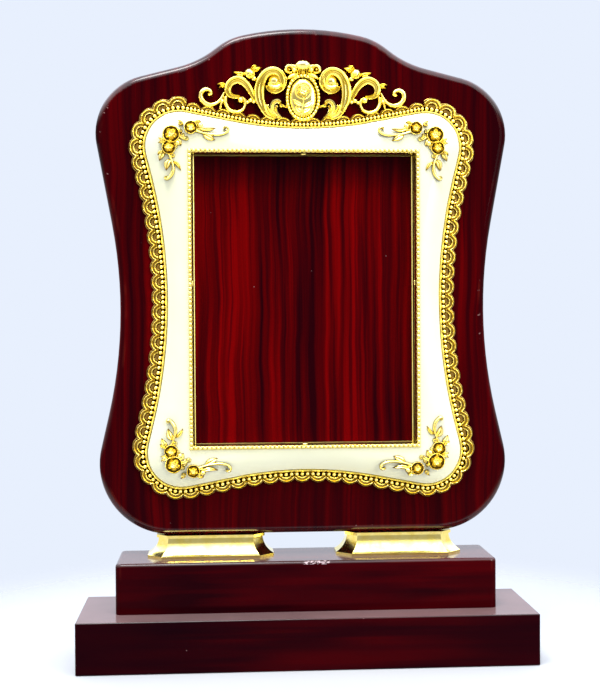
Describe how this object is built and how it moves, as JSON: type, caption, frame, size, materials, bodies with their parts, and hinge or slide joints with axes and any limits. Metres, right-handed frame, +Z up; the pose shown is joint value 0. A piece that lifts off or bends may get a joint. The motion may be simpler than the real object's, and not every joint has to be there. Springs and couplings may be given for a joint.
{
  "type": "award plaque",
  "caption": "Standing shield-shaped wooden award plaque with a scalloped gold and cream frame round a bare plate window, on a stepped wooden plinth.",
  "frame": {"origin": "middle of the underside of the lower plinth, on the surface the plaque stands on", "axes": "+Z up the board, the front with the frame faces -Y, +X to the right of someone who looks at the front"},
  "size_m": [0.219, 0.058, 0.3077],
  "materials": {
    "board_lacquer": "dark rosewood-stained board under thick high-gloss polyester lacquer",
    "plinth_lacquer": "dark rosewood-stained blocks under thick high-gloss polyester lacquer",
    "felt": "thin black pressed felt",
    "riser_gold": "bright gold-plated hollow casting",
    "cream_enamel": "glossy cream enamel over a pillowed casting",
    "liner_gold": "bright gold-plated beaded strip",
    "ornament_gold": "bright gold-plated relief casting, darker in its hollows",
    "screw_steel": "zinc-plated steel"
  },
  "bodies": {
    "root": {"lower_plinth": "plinth_lacquer", "upper_plinth": "plinth_lacquer", "base_felt": "felt", "riser_left": "riser_gold", "riser_right": "riser_gold", "backboard": "board_lacquer", "frame_body": "cream_enamel", "window_liner": "liner_gold", "lace_border": "ornament_gold", "crest": "ornament_gold", "cameo": "ornament_gold", "spray_top_left": "ornament_gold", "spray_top_right": "ornament_gold", "spray_bottom_left": "ornament_gold", "spray_bottom_right": "ornament_gold", "step_screws": "screw_steel", "riser_screws": "screw_steel", "back_screws": "screw_steel"}
  },
  "joints": []
}
